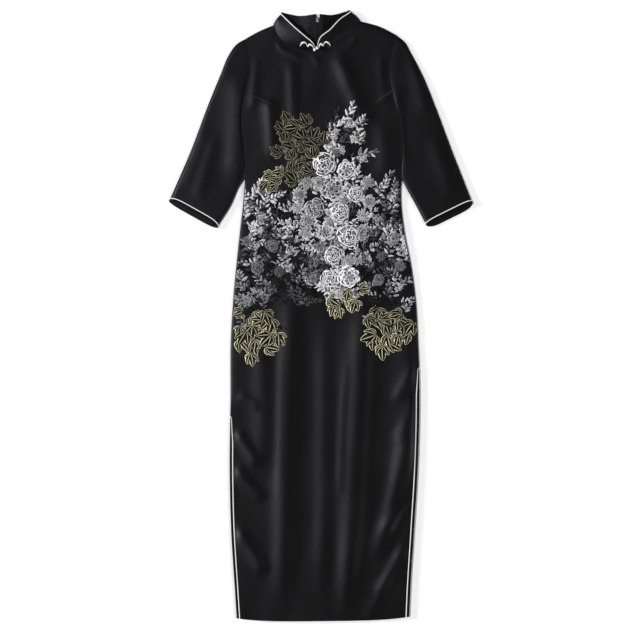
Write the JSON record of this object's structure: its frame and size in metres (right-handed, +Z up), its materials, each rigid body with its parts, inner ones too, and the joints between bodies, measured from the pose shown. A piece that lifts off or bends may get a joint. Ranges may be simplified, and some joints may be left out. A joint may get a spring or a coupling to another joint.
{
  "type": "cheongsam dress",
  "caption": "Ankle-length satin cheongsam laid flat, with three-quarter sleeves, mandarin collar, frog fastening, side slits with piped edges and a zip at the centre back.",
  "frame": {"origin": "on the surface the dress lies on, under the middle of its outline", "axes": "+Y from hem to collar, +X to the right seen from above, +Z up out of the surface"},
  "size_m": [0.654, 1.3152, 0.0112],
  "materials": {
    "black_satin": "black satin with a soft sheen",
    "white_piping": "white satin cord",
    "black_binding": "black satin bias binding",
    "zip_tape": "black woven tape",
    "zip_metal": "dull grey metal",
    "silver_thread": "silver-grey embroidery thread",
    "gold_thread": "olive-gold embroidery thread"
  },
  "bodies": {
    "dress": {"back_left_binding": "black_binding", "back_left_piping": "white_piping", "back_panel_left": "black_satin", "back_panel_right": "black_satin", "back_right_binding": "black_binding", "back_right_piping": "white_piping", "collar_left": "black_satin", "collar_left_binding": "black_binding", "collar_left_piping": "white_piping", "collar_right": "black_satin", "collar_right_binding": "black_binding", "collar_right_piping": "white_piping", "cuff_left_binding": "black_binding", "cuff_left_piping": "white_piping", "cuff_right_binding": "black_binding", "cuff_right_piping": "white_piping", "frog_knot": "white_piping", "frog_loop_left": "black_binding", "frog_loop_right": "black_binding", "front_left_binding": "black_binding", "front_left_piping": "white_piping", "front_panel": "black_satin", "front_right_binding": "black_binding", "front_right_piping": "white_piping", "sleeve_left": "black_satin", "sleeve_right": "black_satin", "zip_slider": "zip_metal", "zip_tape_left": "zip_tape", "zip_tape_right": "zip_tape"},
    "pull_tab": {"zip_pull_tab": "zip_metal"}
  },
  "joints": [
    {"name": "pull_tab_hinge", "type": "hinge", "parent": "dress", "child": "pull_tab", "pos_m": [-0.0072, 0.6372, 0.00125], "axis": [1, 0, 0], "range_deg": [0, 170]}
  ]
}
